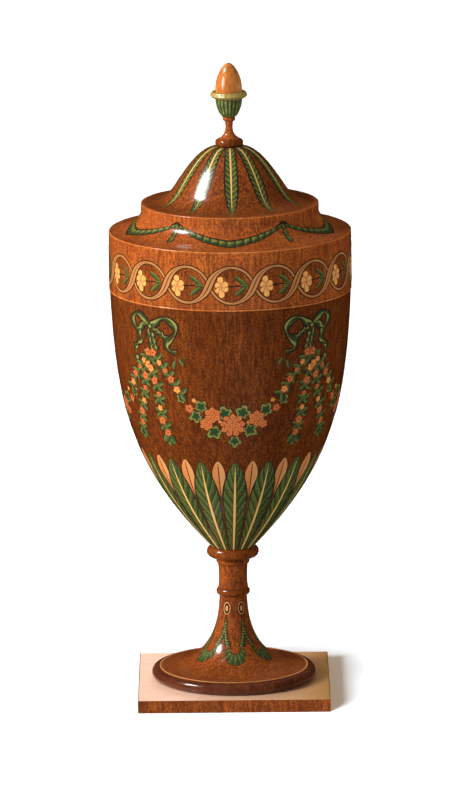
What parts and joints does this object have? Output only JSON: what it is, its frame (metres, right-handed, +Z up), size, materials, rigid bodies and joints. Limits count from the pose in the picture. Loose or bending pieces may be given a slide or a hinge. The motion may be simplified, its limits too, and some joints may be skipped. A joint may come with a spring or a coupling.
{
  "type": "knife case",
  "caption": "Standing vase-shaped knife case in painted satinwood; its lid rises on a square shaft and a spring catch over stepped tiers with slots for cutlery",
  "frame": {"origin": "middle of the plinth's underside, where the case stands", "axes": "+Z up along the shaft and the lid's travel, -Y the front, X to the right of someone who faces the front; the plinth's sides lie along X and Y"},
  "size_m": [0.2492, 0.2492, 0.66],
  "materials": {
    "satinwood": "french polished, mottled figure, painted ornament",
    "dark_wood": "dark stained and polished",
    "inner_wood": "plain, waxed",
    "green_paint": "painted and varnished",
    "brass": "satin",
    "steel": "dull, tempered"
  },
  "bodies": {
    "case": {"plinth": "satinwood", "plinth_screw_1": "steel", "plinth_screw_2": "steel", "plinth_screw_3": "steel", "plinth_screw_4": "steel", "foot_ring": "dark_wood", "foot": "satinwood", "stem_ring": "dark_wood", "stem": "satinwood", "stem_collar": "dark_wood", "bowl": "satinwood", "tier_ledge": "inner_wood", "outer_tier": "satinwood", "locating_lip": "satinwood", "outer_riser": "satinwood", "middle_tier": "satinwood", "inner_riser": "satinwood", "inner_tier": "satinwood", "guide_box": "inner_wood", "guide_collar": "brass"},
    "lid": {"lid_frieze": "satinwood", "lid_cove": "satinwood", "lid_dome": "satinwood", "finial_collar": "satinwood", "finial_baluster": "satinwood", "finial_cup": "green_paint", "finial_acorn": "satinwood", "lifting_shaft": "satinwood", "shaft_stop": "inner_wood", "stop_pin": "steel", "catch_spring": "steel", "catch_screw_1": "steel", "catch_screw_2": "steel"}
  },
  "joints": [
    {"name": "lid_lift", "type": "slide", "parent": "case", "child": "lid", "axis": [0, 0, 1], "range_m": [0, 0.209], "deforming": ["catch_spring"]}
  ]
}
